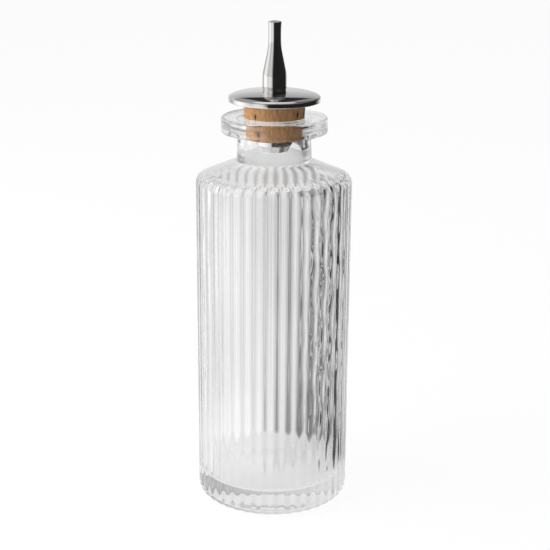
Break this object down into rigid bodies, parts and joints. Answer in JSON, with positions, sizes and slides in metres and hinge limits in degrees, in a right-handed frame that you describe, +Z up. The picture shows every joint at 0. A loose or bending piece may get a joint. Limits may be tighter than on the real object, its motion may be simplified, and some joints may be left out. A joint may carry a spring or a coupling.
{
  "type": "bitters bottle",
  "caption": "Round ribbed glass bottle with a cork stopper that carries a domed chrome flange and a slim dasher spout.",
  "frame": {"origin": "centre of the ring that the bottle stands on, on the bottle's axis", "axes": "+Z up along the bottle's axis, from the base to the spout; X points at the crest of a rib, Y along a groove"},
  "size_m": [0.057, 0.0568, 0.1794],
  "materials": {
    "clear_glass": "clear, gloss",
    "natural_cork": "natural cork, matte",
    "chrome_plate": "polished",
    "plain_steel": "drawn tube, satin",
    "white_plastic": "moulded, satin"
  },
  "bodies": {
    "bottle": {"glass_bottle": "clear_glass"},
    "stopper": {"cork_stopper": "natural_cork", "flange": "chrome_plate", "dasher_spout": "chrome_plate", "stem_tube": "plain_steel", "retaining_ferrule": "chrome_plate", "dash_insert": "white_plastic"}
  },
  "joints": [
    {"name": "stopper_pull", "type": "slide", "parent": "bottle", "child": "stopper", "axis": [0, 0, 1], "range_m": [0, 0.03]}
  ]
}
